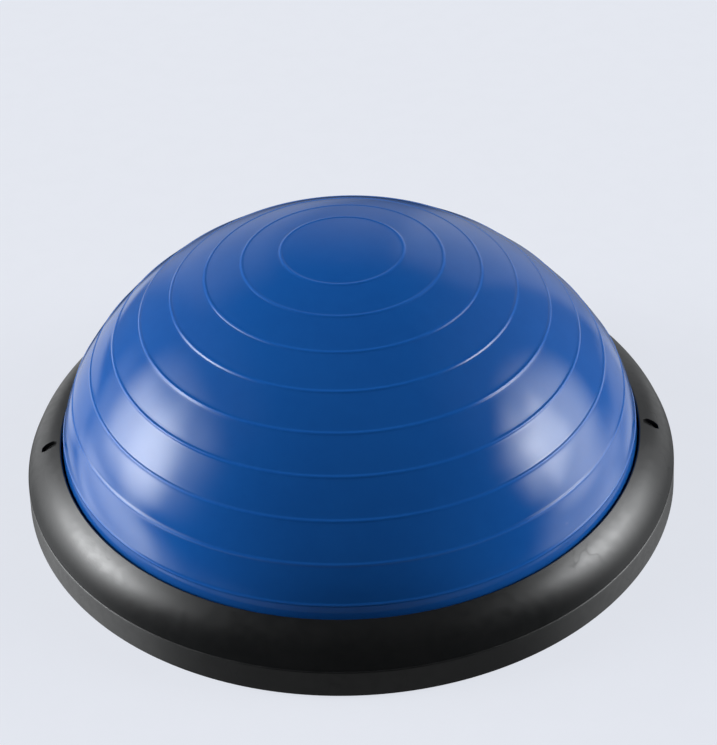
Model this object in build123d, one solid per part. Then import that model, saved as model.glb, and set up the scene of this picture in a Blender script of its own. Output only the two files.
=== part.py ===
from build123d import *
import math
import os

# Balance dome trainer: an inflated half ball clamped to a round platform.
#
# The origin is the centre of the circle of feet, on the floor: +Z is up, X runs through the two
# hand grips, and the cord slots lie beside X, a little towards -Y. All sizes are in millimetres.

# Whole object
BASE_RADIUS = 300.0
FOOT_PROUD = 2.0
DOME_TOP = 242.5

# Dome: a crown arc that runs into a tighter flank arc, both revolved about Z
CROWN_RADIUS = 290.0
CROWN_ANGLE = 57.0
FLANK_RADIUS = 130.0
DOME_WALL = 4.0
RIB_COUNT = 9
RIB_FIRST_ARC = 53.8
RIB_PITCH = 35.3
RIB_RADIUS = 1.6
RIB_SUNK = 0.5

# Rim of the dome, gripped between the collar and the platform
FLANGE_TOP = 39.0
FLANGE_THICK = 4.0
BEAD_CENTRE_R = 277.5
BEAD_RADIUS = 3.0
MEMBRANE_THICK = 3.0
MEMBRANE_RADIUS = 274.0

# Collar: a convex ring, struck from one centre
COLLAR_ARC_CENTRE = (259.6, 16.0)
COLLAR_ARC_RADIUS = 40.0
COLLAR_WALL = 3.5
COLLAR_INNER_RADIUS = 265.2
CLAMP_LEG_THICK = 3.3
COLLAR_FOOT_Z = 28.5
LIP_ROUND = 1.2
SPIGOT_THICK = 3.1
SPIGOT_OUTER_R = 294.6
SPIGOT_BOTTOM = 24.5
SPIGOT_TOP = 31.0

# Cord slots through the collar
SLOT_X = 275.6
SLOT_Y = -24.0
SLOT_LENGTH = 15.5
SLOT_WIDTH = 9.0
SLOT_TURN = 10.0

# Platform
TREAD_THICK = 4.0
RIM_TOP_RADIUS = 298.6
RIM_INNER_RADIUS = 295.1
RIM_EDGE_CHAMFER = 2.0
LEDGE_CHAMFER = 0.9
SEAT_INNER_R = 254.0
SEAT_OUTER_R = 281.5
SEAT_THICK = 4.0
PLATFORM_RIB = 2.5
RING_RIB_RADII = (100.0, 175.0, 254.0)
RADIAL_RIB_COUNT = 8
WELL_RADIUS = 30.0
WELL_WALL = 3.0

# Hand grips in the underside
GRIP_CENTRE_X = 256.0
GRIP_DEPTH_X = 36.0
GRIP_WIDTH_Y = 110.0
GRIP_CEILING = 26.0
GRIP_WALL = 3.0
GRIP_ROUND = 12.0
GRIP_CUT_THROUGH = 1.0

# Screws, from underneath
SCREW_COUNT = 16
SCREW_CIRCLE_R = 286.0
SCREW_SHANK_R = 2.0
SCREW_HEAD_R = 4.0
SCREW_HEAD_THICK = 3.0
SCREW_TOP = 38.0
SCREW_SEAT_Z = 14.0
SCREW_CROSS_LENGTH = 5.0
SCREW_CROSS_WIDTH = 0.9
SCREW_CROSS_DEPTH = 1.6
COUNTERBORE_R = 5.0
SCREW_CLEARANCE_R = 2.3
PILOT_R = 2.05
PILOT_TOP = 39.0
PLATFORM_BOSS_R = 5.5
COLLAR_BOSS_R = 4.0
BOSS_JOINT_Z = 30.0

# Feet
FOOT_COUNT = 8
FOOT_CIRCLE_R = 236.0
FOOT_RADIUS = 15.0
FOOT_THICK = 4.0
FOOT_EDGE_ROUND = 0.8
FOOT_RECESS_GAP = 0.15
FOOT_BACKING_R = 18.0
FOOT_BACKING_THICK = 2.0

# Air valve
SEAT_BODY_R = 9.0
SEAT_BORE_R = 4.0
SEAT_FLANGE_R = 14.0
SEAT_FLANGE_THICK = 2.5
SEAT_DROP = 3.0
PLUG_CLEARANCE = 0.05
PLUG_HEAD_R = 8.0
PLUG_HEAD_THICK = 3.0
PLUG_NOSE = 1.5
PLUG_TAB_WIDTH = 3.0
PLUG_TAB_LENGTH = 12.0
PLUG_TAB_DROP = 6.0

# Worked out from the above
TREAD_BOTTOM = FOOT_PROUD
TREAD_TOP = TREAD_BOTTOM + TREAD_THICK
CROWN_CENTRE = (0.0, DOME_TOP - CROWN_RADIUS)
FLANK_CENTRE = (
    (CROWN_RADIUS - FLANK_RADIUS) * math.sin(math.radians(CROWN_ANGLE)),
    CROWN_CENTRE[1] + (CROWN_RADIUS - FLANK_RADIUS) * math.cos(math.radians(CROWN_ANGLE)),
)
FLANGE_BOTTOM = FLANGE_TOP - FLANGE_THICK
MEMBRANE_BOTTOM = FLANGE_BOTTOM - MEMBRANE_THICK
VALVE_SEAT_BOTTOM = MEMBRANE_BOTTOM - SEAT_DROP
VALVE_SEAT_TOP = FLANGE_BOTTOM + SEAT_FLANGE_THICK


def lathe(*curves):
    """Solid of revolution about Z of the face that the curves, drawn as (r, z), enclose."""
    face = make_face([Plane.XZ * curve for curve in curves])
    return revolve(face, axis=Axis.Z)


def ring(inner, outer, low, high):
    """Plain ring with a rectangular section."""
    return lathe(Polyline((inner, low), (outer, low), (outer, high), (inner, high), close=True))


def disc(radius, low, high):
    """Plain disc standing on z = low."""
    return Pos(0, 0, low) * Cylinder(radius, high - low, align=(Align.CENTER, Align.CENTER, Align.MIN))


def block(length, width, low, high):
    """Box centred on Z between two heights."""
    return Pos(0, 0, low) * Box(length, width, high - low, align=(Align.CENTER, Align.CENTER, Align.MIN))


def around(count, radius, first_angle):
    """Places on a circle about Z, evenly spaced from first_angle in degrees."""
    step = 360.0 / count
    return [Rot(0, 0, first_angle + step * i) * Pos(radius, 0, 0) for i in range(count)]


def single(shape):
    """The one solid of a boolean's result."""
    return shape.solids()[0]


def dome_point(arc, depth):
    """Point (r, z) at a distance along the dome's meridian from the pole, sunk by a depth."""
    crown_length = CROWN_RADIUS * math.radians(CROWN_ANGLE)
    if arc <= crown_length:
        angle = arc / CROWN_RADIUS
        centre, radius = CROWN_CENTRE, CROWN_RADIUS - depth
    else:
        angle = math.radians(CROWN_ANGLE) + (arc - crown_length) / FLANK_RADIUS
        centre, radius = FLANK_CENTRE, FLANK_RADIUS - depth
    return centre[0] + radius * math.sin(angle), centre[1] + radius * math.cos(angle)


def make_dome_shell():
    """Moulded half ball: even wall, raised grip ribs, outward flange with a bead."""
    crown_low = 90.0 - CROWN_ANGLE
    inner_crown = CROWN_RADIUS - DOME_WALL
    inner_flank = FLANK_RADIUS - DOME_WALL
    wall_outer = FLANK_CENTRE[0] + FLANK_RADIUS
    wall_inner = FLANK_CENTRE[0] + inner_flank
    outline = [
        CenterArc(CROWN_CENTRE, CROWN_RADIUS, crown_low, CROWN_ANGLE),
        CenterArc(FLANK_CENTRE, FLANK_RADIUS, 0, crown_low),
        Polyline(
            (wall_outer, FLANK_CENTRE[1]),
            (wall_outer, FLANGE_TOP),
            (BEAD_CENTRE_R, FLANGE_TOP),
            (BEAD_CENTRE_R, FLANGE_BOTTOM),
            (wall_inner, FLANGE_BOTTOM),
            (wall_inner, FLANK_CENTRE[1]),
        ),
        CenterArc(FLANK_CENTRE, inner_flank, 0, crown_low),
        CenterArc(CROWN_CENTRE, inner_crown, crown_low, CROWN_ANGLE),
        Line((0, DOME_TOP - DOME_WALL), (0, DOME_TOP)),
    ]
    section = make_face(outline)
    for i in range(RIB_COUNT):
        section += Pos(*dome_point(RIB_FIRST_ARC + RIB_PITCH * i, RIB_SUNK)) * Circle(RIB_RADIUS)
    section += Pos(BEAD_CENTRE_R, (FLANGE_TOP + FLANGE_BOTTOM) / 2) * Circle(BEAD_RADIUS)
    return single(revolve(Plane.XZ * section, axis=Axis.Z))


def make_bladder_floor():
    """Flat membrane that closes the air chamber, with a hole for the valve seat."""
    return ring(SEAT_BODY_R, MEMBRANE_RADIUS, MEMBRANE_BOTTOM, FLANGE_BOTTOM)


def make_valve_seat():
    """Flanged rubber bush in the membrane, with the bore that the plug closes."""
    return lathe(
        Polyline(
            (SEAT_BORE_R, VALVE_SEAT_BOTTOM),
            (SEAT_BODY_R, VALVE_SEAT_BOTTOM),
            (SEAT_BODY_R, FLANGE_BOTTOM),
            (SEAT_FLANGE_R, FLANGE_BOTTOM),
            (SEAT_FLANGE_R, VALVE_SEAT_TOP),
            (SEAT_BORE_R, VALVE_SEAT_TOP),
            close=True,
        )
    )


def make_valve_plug():
    """Push-in plug: tapered nose, shaft, head under the seat and a tab to pull it by."""
    shaft = SEAT_BORE_R - PLUG_CLEARANCE
    head_bottom = VALVE_SEAT_BOTTOM - PLUG_HEAD_THICK
    body = lathe(
        Polyline(
            (0, head_bottom),
            (PLUG_HEAD_R, head_bottom),
            (PLUG_HEAD_R, VALVE_SEAT_BOTTOM),
            (shaft, VALVE_SEAT_BOTTOM),
            (shaft, VALVE_SEAT_TOP - PLUG_NOSE),
            (shaft - PLUG_NOSE, VALVE_SEAT_TOP),
            (0, VALVE_SEAT_TOP),
            close=True,
        )
    )
    tab = block(PLUG_TAB_LENGTH, PLUG_TAB_WIDTH, head_bottom - PLUG_TAB_DROP, head_bottom)
    tab = fillet(tab.edges().filter_by(Axis.Y).group_by(Axis.Z)[0], PLUG_TAB_DROP / 2)
    return single(body + tab)


def collar_arc_height(r, inset):
    """Height of the collar's top surface, moved inwards by an inset, at radius r."""
    radius = COLLAR_ARC_RADIUS - inset
    return COLLAR_ARC_CENTRE[1] + math.sqrt(radius**2 - (r - COLLAR_ARC_CENTRE[0]) ** 2)


def collar_arc_reach(z, inset):
    """Radius of the collar's surface, moved inwards by an inset, at height z."""
    radius = COLLAR_ARC_RADIUS - inset
    return COLLAR_ARC_CENTRE[0] + math.sqrt(radius**2 - (z - COLLAR_ARC_CENTRE[1]) ** 2)


def collar_arc(start, end, inset):
    """Arc of the collar's section from radius start to the point end = (r, z)."""
    radius = COLLAR_ARC_RADIUS - inset
    top = (start, collar_arc_height(start, inset))
    return RadiusArc(top, end, radius, short_sagitta=True)


def collar_section(inset, foot_z):
    """Curves of the solid dome-side outline of the collar, used to trim its bosses."""
    reach = collar_arc_reach(foot_z, inset)
    top = (COLLAR_INNER_RADIUS, collar_arc_height(COLLAR_INNER_RADIUS, inset))
    arc = collar_arc(COLLAR_INNER_RADIUS, (reach, foot_z), inset)
    closing = Polyline((reach, foot_z), (COLLAR_INNER_RADIUS, foot_z), top)
    return arc, closing


def make_clamp_collar():
    """Convex top ring: clamp leg on the dome's flange, spigot, screw bosses and two cord slots."""
    leg_outer = COLLAR_INNER_RADIUS + CLAMP_LEG_THICK
    body = lathe(*collar_section(0.0, COLLAR_FOOT_Z))
    body += ring(COLLAR_INNER_RADIUS, leg_outer, COLLAR_FOOT_Z, FLANGE_TOP + COLLAR_WALL)
    hollow_reach = collar_arc_reach(SPIGOT_BOTTOM, COLLAR_WALL)
    hollow_top = collar_arc_height(leg_outer, COLLAR_WALL)
    hollow = lathe(
        collar_arc(leg_outer, (hollow_reach, SPIGOT_BOTTOM), COLLAR_WALL),
        Polyline((hollow_reach, SPIGOT_BOTTOM), (leg_outer, SPIGOT_BOTTOM), (leg_outer, hollow_top)),
    )
    body -= hollow
    body -= ring(COLLAR_INNER_RADIUS - COLLAR_WALL, leg_outer, SPIGOT_BOTTOM, FLANGE_TOP)
    body += ring(SPIGOT_OUTER_R - SPIGOT_THICK, SPIGOT_OUTER_R, SPIGOT_BOTTOM, SPIGOT_TOP)
    trim = lathe(*collar_section(COLLAR_WALL / 2, BOSS_JOINT_Z))
    boss = disc(COLLAR_BOSS_R, BOSS_JOINT_Z, collar_arc_height(SCREW_CIRCLE_R, 0.0))
    pilot = disc(PILOT_R, BOSS_JOINT_Z, PILOT_TOP)
    places = around(SCREW_COUNT, SCREW_CIRCLE_R, 180.0 / SCREW_COUNT)
    body += [(place * boss) & trim for place in places]
    body -= [place * pilot for place in places]
    slot_profile = SlotOverall(SLOT_LENGTH, SLOT_WIDTH)
    slot = Pos(0, 0, FLANGE_TOP) * extrude(slot_profile, DOME_TOP - FLANGE_TOP)
    body -= [Pos(side * SLOT_X, SLOT_Y, 0) * Rot(0, 0, -side * SLOT_TURN) * slot for side in (-1, 1)]
    lip_height = collar_arc_height(COLLAR_INNER_RADIUS, 0.0)
    circles = body.edges().filter_by(GeomType.CIRCLE)
    lip = [edge for edge in circles if abs(edge.center().Z - lip_height) < LIP_ROUND]
    return single(fillet(lip, LIP_ROUND))


def platform_shell():
    """Flat tread with a drafted rim around it, both moulded in one."""
    draft = (BASE_RADIUS - RIM_TOP_RADIUS) / (COLLAR_FOOT_Z - TREAD_BOTTOM)
    return lathe(
        Polyline(
            (0, TREAD_TOP),
            (0, TREAD_BOTTOM),
            (BASE_RADIUS - RIM_EDGE_CHAMFER, TREAD_BOTTOM),
            (BASE_RADIUS - draft * RIM_EDGE_CHAMFER, TREAD_BOTTOM + RIM_EDGE_CHAMFER),
            (RIM_TOP_RADIUS, COLLAR_FOOT_Z - LEDGE_CHAMFER),
            (RIM_TOP_RADIUS - LEDGE_CHAMFER, COLLAR_FOOT_Z),
            (RIM_INNER_RADIUS, COLLAR_FOOT_Z),
            (RIM_INNER_RADIUS, TREAD_TOP),
            close=True,
        )
    )


def rounded_block(length, width, low, high, corner):
    """Upright block with rounded corners, seen from above."""
    return Pos(0, 0, low) * extrude(RectangleRounded(length, width, corner), high - low)


def grip_pockets(wall):
    """The two hand grip pockets, grown by a wall on every side but the underside."""
    low = TREAD_BOTTOM if wall else TREAD_BOTTOM - GRIP_CUT_THROUGH
    pocket = rounded_block(
        GRIP_DEPTH_X + 2 * wall, GRIP_WIDTH_Y + 2 * wall, low, GRIP_CEILING + wall, GRIP_ROUND + wall
    )
    return [Pos(side * GRIP_CENTRE_X, 0, 0) * pocket for side in (-1, 1)]


def platform_ribs():
    """Ring ribs and radial ribs that carry the membrane above the tread."""
    half = PLATFORM_RIB / 2
    ribs = [ring(r - half, r + half, TREAD_TOP, MEMBRANE_BOTTOM) for r in RING_RIB_RADII]
    start = WELL_RADIUS + WELL_WALL / 2
    radial = block(SEAT_INNER_R - start, PLATFORM_RIB, TREAD_TOP, MEMBRANE_BOTTOM)
    middle = (SEAT_INNER_R + start) / 2
    ribs += [place * radial for place in around(RADIAL_RIB_COUNT, middle, 180.0 / RADIAL_RIB_COUNT)]
    return ribs


def make_platform():
    """Stand-on platform: tread, rim, inner ribs, rim seat, bosses, grip pockets and valve well."""
    screw_places = around(SCREW_COUNT, SCREW_CIRCLE_R, 180.0 / SCREW_COUNT)
    foot_places = around(FOOT_COUNT, FOOT_CIRCLE_R, 180.0 / FOOT_COUNT)
    backing = disc(FOOT_BACKING_R, TREAD_TOP, TREAD_TOP + FOOT_BACKING_THICK)
    boss = disc(PLATFORM_BOSS_R, TREAD_TOP, BOSS_JOINT_Z)
    body = platform_shell()
    body += ring(SEAT_INNER_R, SEAT_OUTER_R, MEMBRANE_BOTTOM - SEAT_THICK, MEMBRANE_BOTTOM)
    body += ring(SEAT_OUTER_R - PLATFORM_RIB, SEAT_OUTER_R, TREAD_TOP, MEMBRANE_BOTTOM)
    body += ring(WELL_RADIUS, WELL_RADIUS + WELL_WALL, TREAD_TOP, MEMBRANE_BOTTOM)
    body += platform_ribs()
    body += [place * boss for place in screw_places]
    body += [place * backing for place in foot_places]
    body += grip_pockets(GRIP_WALL)
    body -= grip_pockets(0.0)
    body -= disc(WELL_RADIUS, 0, DOME_TOP)
    body -= [place * disc(COUNTERBORE_R, 0, SCREW_SEAT_Z) for place in screw_places]
    body -= [place * disc(SCREW_CLEARANCE_R, 0, DOME_TOP) for place in screw_places]
    body -= [place * disc(FOOT_RADIUS + FOOT_RECESS_GAP, 0, FOOT_THICK) for place in foot_places]
    return single(body)


def make_clamp_screws():
    """The ring of self-tapping pan-head screws, one solid each, heads down."""
    head = disc(SCREW_HEAD_R, SCREW_SEAT_Z - SCREW_HEAD_THICK, SCREW_SEAT_Z)
    low_edge = head.edges().group_by(Axis.Z)[0]
    screw = fillet(low_edge, SCREW_HEAD_THICK / 2) + disc(SCREW_SHANK_R, SCREW_SEAT_Z, SCREW_TOP)
    cross_low = SCREW_SEAT_Z - SCREW_HEAD_THICK
    cross = block(SCREW_CROSS_LENGTH, SCREW_CROSS_WIDTH, cross_low, cross_low + SCREW_CROSS_DEPTH)
    screw -= [cross, Rot(0, 0, 90) * cross]
    places = around(SCREW_COUNT, SCREW_CIRCLE_R, 180.0 / SCREW_COUNT)
    return Compound(children=[place * single(screw) for place in places])


def make_foot(place):
    """Round rubber pad glued into its recess in the tread."""
    pad = disc(FOOT_RADIUS, 0, FOOT_THICK)
    return single(place * fillet(pad.edges().group_by(Axis.Z)[0], FOOT_EDGE_ROUND))


def main():
    """Write one STEP file for each piece."""
    os.makedirs("parts", exist_ok=True)
    parts = {
        "dome_shell": make_dome_shell(),
        "bladder_floor": make_bladder_floor(),
        "valve_seat": make_valve_seat(),
        "valve_plug": make_valve_plug(),
        "clamp_collar": make_clamp_collar(),
        "platform": make_platform(),
        "clamp_screws": make_clamp_screws(),
    }
    for number, place in enumerate(around(FOOT_COUNT, FOOT_CIRCLE_R, 180.0 / FOOT_COUNT), start=1):
        parts[f"foot_{number}"] = make_foot(place)
    for name, shape in parts.items():
        export_step(shape, f"parts/{name}.step")


main()
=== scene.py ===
"""Looks of the balance dome trainer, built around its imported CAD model.

Every length is in metres in the model's own frame: Z is up, the floor is z = 0, and the hand
grips and cord slots lie on the X axis. Shapes are worked out as whole numpy arrays.
"""

import logging
import math
from dataclasses import dataclass, field
from enum import Enum

import bpy
import numpy as np
from mathutils import Matrix, Vector


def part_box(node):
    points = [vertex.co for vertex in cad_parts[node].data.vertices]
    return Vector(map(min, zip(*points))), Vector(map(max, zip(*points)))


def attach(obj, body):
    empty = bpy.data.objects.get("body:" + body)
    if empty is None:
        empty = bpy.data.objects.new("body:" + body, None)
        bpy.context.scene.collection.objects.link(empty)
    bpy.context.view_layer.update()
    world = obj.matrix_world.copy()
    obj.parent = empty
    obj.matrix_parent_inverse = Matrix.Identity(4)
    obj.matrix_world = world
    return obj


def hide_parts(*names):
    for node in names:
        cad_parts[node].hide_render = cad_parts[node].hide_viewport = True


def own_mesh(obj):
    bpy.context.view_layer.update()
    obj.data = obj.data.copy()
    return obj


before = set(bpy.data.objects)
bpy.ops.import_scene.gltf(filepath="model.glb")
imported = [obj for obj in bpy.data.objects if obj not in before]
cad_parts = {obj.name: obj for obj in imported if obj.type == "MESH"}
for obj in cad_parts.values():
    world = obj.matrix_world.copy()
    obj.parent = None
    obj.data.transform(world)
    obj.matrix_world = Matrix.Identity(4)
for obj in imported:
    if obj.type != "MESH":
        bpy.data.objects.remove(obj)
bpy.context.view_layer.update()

MM = 0.001
FULL_TURN = 2 * math.pi
SCREW_COUNT = 16
FOOT_COUNT = 8
WELD = 1e-7
CREASE = math.radians(32)
# Attribute of ring height; the dome's finish lightens its colour by it, a painted highlight on the rings.
RING_HIGHLIGHT = "ridge"
PLAN = (1.0, 1.0, 0.0)
# Share of the gloss left at the collar's outer edge: painted shade on its reflection.
SHADED_EDGE_GLOSS = 0.1
LEAN_WITHIN = (0.78, 0.84)

log = logging.getLogger("balance_dome")

Point = tuple[float, float]
Colour = tuple[float, float, float, float]


class Slot(Enum):
    """Material slots of the record."""

    DOME = "dome_pvc"
    MEMBRANE = "membrane_pvc"
    VALVE = "valve_rubber"
    PLUG = "plug_plastic"
    COLLAR = "collar_plastic"
    PLATFORM = "platform_plastic"
    SCREW = "screw_steel"
    FOOT = "foot_rubber"


class Body(Enum):
    """Moving bodies of the CAD model."""

    PLATFORM = "platform"
    DOME = "dome"
    PLUG = "plug"


# ---------------------------------------------------------------- profiles and grids


def arc(centre: Point, radius: float, start: float, end: float, count: int) -> np.ndarray:
    """Points of a circular arc: the centre plus the radius times (cos, sin) of even angles.

    Args:
        centre: Centre as (r, z).
        radius: Radius of the arc.
        start: First angle in degrees, from the r axis towards z.
        end: Last angle in degrees.
        count: Number of points.

    Returns:
        Array (count, 2) of (r, z).
    """
    angles = np.radians(np.linspace(start, end, count))
    return np.asarray(centre) + radius * np.column_stack((np.cos(angles), np.sin(angles)))


def straight(start: Point, end: Point, count: int = 2) -> np.ndarray:
    """Even points on the line from start to end, both included."""
    return np.linspace(start, end, count)


def chain(*stretches: np.ndarray) -> np.ndarray:
    """Stretches of a profile set end to end, without repeated points.

    Args:
        stretches: Arrays (n, 2), or single points.

    Returns:
        Array (n, 2) of (r, z).
    """
    points = np.vstack([np.atleast_2d(stretch) for stretch in stretches])
    steps = np.linalg.norm(np.diff(points, axis=0), axis=1)
    return points[np.concatenate(([True], steps > WELD))]


def turned(profile: np.ndarray, segments: int) -> np.ndarray:
    """Surface of revolution: point (r, z) at angle a becomes (r cos a, r sin a, z).

    Args:
        profile: Array (n, 2) of (r, z).
        segments: Steps round the full circle.

    Returns:
        Array (n, segments, 3).
    """
    angles = np.arange(segments) * FULL_TURN / segments
    r, z = profile[:, :1], profile[:, 1:]
    return np.stack((r * np.cos(angles), r * np.sin(angles), z + 0 * angles), axis=-1)


def even_angles(count: int) -> np.ndarray:
    """Angles of even places round the full circle, the first half a step past the X axis."""
    return (np.arange(count) + 0.5) * FULL_TURN / count


def smoothstep(value: np.ndarray) -> np.ndarray:
    """3 t^2 - 2 t^3 of the value held between 0 and 1."""
    t = np.clip(value, 0.0, 1.0)
    return t * t * (3 - 2 * t)


@dataclass
class Skin:
    """Grids of points gathered into one closed mesh."""

    points: list[np.ndarray] = field(default_factory=list)
    quads: list[np.ndarray] = field(default_factory=list)
    count: int = 0

    def add(self, grid: np.ndarray, around: bool = True, keep: np.ndarray | None = None) -> None:
        """Add a grid of points; a face joins each point to its next column and next row.

        Args:
            grid: Array (rows, columns, 3). Columns run anticlockwise seen from outside.
            around: True if the last column joins the first.
            keep: Array of bool, one for each cell, False where the cell is left out.
        """
        rows, columns = grid.shape[:2]
        index = np.arange(rows * columns).reshape(rows, columns) + self.count
        if around:
            index = np.column_stack((index, index[:, :1]))
        cells = np.stack((index[:-1, :-1], index[:-1, 1:], index[1:, 1:], index[1:, :-1]), axis=-1)
        self.quads.append(cells[keep] if keep is not None else cells.reshape(-1, 4))
        self.points.append(grid.reshape(-1, 3))
        self.count += rows * columns

    def build(self, name: str) -> bpy.types.Object:
        """Weld points that coincide, drop what collapsed and make the object.

        Args:
            name: Name of the piece.

        Returns:
            The new object, smooth shaded, with edges sharper than CREASE kept hard.
        """
        points = np.vstack(self.points)
        quads = np.vstack(self.quads)
        keys = np.round(points / WELD).astype(np.int64)
        _, first, merged = np.unique(keys, axis=0, return_index=True, return_inverse=True)
        quads = merged.reshape(-1)[quads]
        same_as_next = quads == np.roll(quads, -1, axis=1)
        whole = quads[~same_as_next.any(axis=1)]
        corners = [whole.ravel()]
        lengths = [np.full(len(whole), 4)]
        for side in range(4):
            pinched = quads[same_as_next[:, side] & (same_as_next.sum(axis=1) == 1)]
            corners.append(np.delete(pinched, side, axis=1).ravel())
            lengths.append(np.full(len(pinched), 3))
        return make_object(name, points[first], np.concatenate(corners), np.concatenate(lengths))


def make_object(
    name: str, points: np.ndarray, corners: np.ndarray, lengths: np.ndarray
) -> bpy.types.Object:
    """Put arrays into a mesh object at the origin.

    Args:
        name: Name of the object.
        points: Array (n, 3) of places.
        corners: Point numbers of all faces, one face after another.
        lengths: Number of corners of each face.

    Returns:
        The linked object.
    """
    mesh = bpy.data.meshes.new(name)
    mesh.vertices.add(len(points))
    mesh.vertices.foreach_set("co", points.astype(np.float32).ravel())
    mesh.loops.add(len(corners))
    mesh.loops.foreach_set("vertex_index", corners.astype(np.int32))
    mesh.polygons.add(len(lengths))
    starts = np.concatenate(([0], np.cumsum(lengths)[:-1]))
    mesh.polygons.foreach_set("loop_start", starts.astype(np.int32))
    mesh.polygons.foreach_set("use_smooth", np.ones(len(lengths), dtype=bool))
    mesh.update(calc_edges=True)
    mesh.validate()
    mesh.set_sharp_from_angle(angle=CREASE)
    piece = bpy.data.objects.new(name, mesh)
    bpy.context.scene.collection.objects.link(piece)
    return piece


@dataclass(frozen=True)
class Outline:
    """Rounded rectangle in plan, with its long axis turned from X."""

    x: float
    y: float
    half_length: float
    half_width: float
    corner: float
    turn: float = 0.0

    def around(self, rim: np.ndarray, grow: float) -> np.ndarray:
        """Points of the outline, one on the ray from its centre to each point of a rim.

        The distance along the ray is halved in on until the signed distance to the rounded
        rectangle, grown by a margin, is nought.

        Args:
            rim: Array (n, 2 or 3) of places round the outline.
            grow: Margin added on every side.

        Returns:
            Array (n, 2).
        """
        centre = np.array((self.x, self.y))
        rays = rim[:, :2] - centre
        rays /= np.linalg.norm(rays, axis=1, keepdims=True)
        c, s = math.cos(self.turn), math.sin(self.turn)
        local = np.abs(rays @ np.array(((c, -s), (s, c))))
        corner = self.corner + grow
        core = np.array((self.half_length + grow - corner, self.half_width + grow - corner))
        low = np.zeros(len(rays))
        high = np.full(len(rays), self.half_length + self.half_width + grow)
        for _ in range(40):
            middle = (low + high) / 2
            q = middle[:, None] * local - core
            distance = np.linalg.norm(np.maximum(q, 0), axis=1) + np.minimum(q.max(axis=1), 0) - corner
            low = np.where(distance < 0, middle, low)
            high = np.where(distance < 0, high, middle)
        return centre + rays * high[:, None]


@dataclass
class Turning:
    """A closed profile turned about Z, with blocks of cells left out for what is cut in it."""

    profile: np.ndarray
    segments: int
    grid: np.ndarray = field(init=False)
    keep: np.ndarray = field(init=False)
    skin: Skin = field(default_factory=Skin)

    def __post_init__(self) -> None:
        """Work out the grid of points."""
        self.grid = turned(self.profile, self.segments)
        self.keep = np.ones((len(self.profile) - 1, self.segments), dtype=bool)

    def cut_block(self, rows: tuple[int, int], middle: float, spread: int) -> np.ndarray:
        """Leave out a block of cells and give its rim, anticlockwise seen from outside.

        Args:
            rows: First and last row of the block.
            middle: Angle of the block's middle, in radians.
            spread: Columns on each side of the middle.

        Returns:
            Array (n, 3) of the rim's points, from the first row's clockwise corner.
        """
        first, last = rows
        centre = round(middle / FULL_TURN * self.segments)
        columns = np.arange(centre - spread, centre + spread + 1)
        self.keep[first:last, columns[:-1] % self.segments] = False
        down = np.arange(first, last + 1)
        row = np.concatenate((
            np.full(len(columns) - 1, first), down[:-1],
            np.full(len(columns) - 1, last), down[:0:-1],
        ))
        column = np.concatenate((
            columns[:-1], np.full(len(down) - 1, columns[-1]),
            columns[:0:-1], np.full(len(down) - 1, columns[0]),
        ))
        return self.grid[row, column % self.segments]

    def build(self, name: str) -> bpy.types.Object:
        """Add the cells that are left and make the object."""
        self.skin.add(self.grid, keep=self.keep)
        return self.skin.build(name)


def spread_rings(rim: np.ndarray, inner: np.ndarray, steps: int) -> list[np.ndarray]:
    """Rings in plan from a rim to an inner outline, evenly blended, rim and outline included."""
    return [rim[:, :2] + (inner - rim[:, :2]) * t for t in np.linspace(0, 1, steps)]


def at_height(ring: np.ndarray, height: float | np.ndarray) -> np.ndarray:
    """Plan points (n, 2) set at a height."""
    return np.column_stack((ring, np.broadcast_to(height, len(ring))))


# ---------------------------------------------------------------- finishes


class Graph:
    """Short way to add and join shader nodes of one material or world."""

    def __init__(self, owner: bpy.types.Material | bpy.types.World) -> None:
        """Start with an empty node tree on the owner."""
        owner.use_nodes = True
        self.tree = owner.node_tree
        self.tree.nodes.clear()

    def add(self, kind: str, inputs: dict | None = None, **settings: object) -> bpy.types.Node:
        """Add a node.

        Args:
            kind: Type name, without its ShaderNode prefix.
            inputs: Socket name or number to a value, or to an output socket to join.
            settings: Attributes of the node.

        Returns:
            The node.
        """
        node = self.tree.nodes.new("ShaderNode" + kind)
        for name, value in settings.items():
            setattr(node, name, value)
        for name, value in (inputs or {}).items():
            if isinstance(value, bpy.types.NodeSocket):
                self.tree.links.new(value, node.inputs[name])
            else:
                node.inputs[name].default_value = value
        return node

    def math(self, operation: str, *values: object) -> bpy.types.NodeSocket:
        """Output of a Math node on one to three values or sockets."""
        return self.add("Math", dict(enumerate(values)), operation=operation).outputs[0]

    def vector_math(self, operation: str, *values: object) -> bpy.types.Node:
        """Vector Math node on one or two values or sockets."""
        return self.add("VectorMath", dict(enumerate(values)), operation=operation)

    def scaled(self, vector: bpy.types.NodeSocket, scale: bpy.types.NodeSocket) -> bpy.types.NodeSocket:
        """The vector times a number."""
        return self.add("VectorMath", {0: vector, "Scale": scale}, operation="SCALE").outputs[0]

    def noise(self, place: bpy.types.NodeSocket, scale: float, detail: float = 2.0) -> bpy.types.NodeSocket:
        """Value of a Noise Texture at a place, about 0.5 on average."""
        inputs = {"Vector": place, "Scale": scale, "Detail": detail}
        return self.add("TexNoise", inputs).outputs[0]

    def ramp(
        self, value: bpy.types.NodeSocket, low: float, high: float, first: float, last: float
    ) -> bpy.types.NodeSocket:
        """Smooth change from first to last while the value goes from low to high."""
        inputs = {"Value": value, "From Min": low, "From Max": high, "To Min": first, "To Max": last}
        return self.add("MapRange", inputs, interpolation_type="SMOOTHSTEP").outputs[0]

    def tint(self, share: bpy.types.NodeSocket, first: Colour, second: Colour) -> bpy.types.NodeSocket:
        """Colour between two colours, by a share from 0 to 1."""
        node = self.add("Mix", data_type="RGBA")
        self.tree.links.new(share, node.inputs["Factor"])
        node.inputs[6].default_value = first
        node.inputs[7].default_value = second
        return node.outputs[2]


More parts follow.
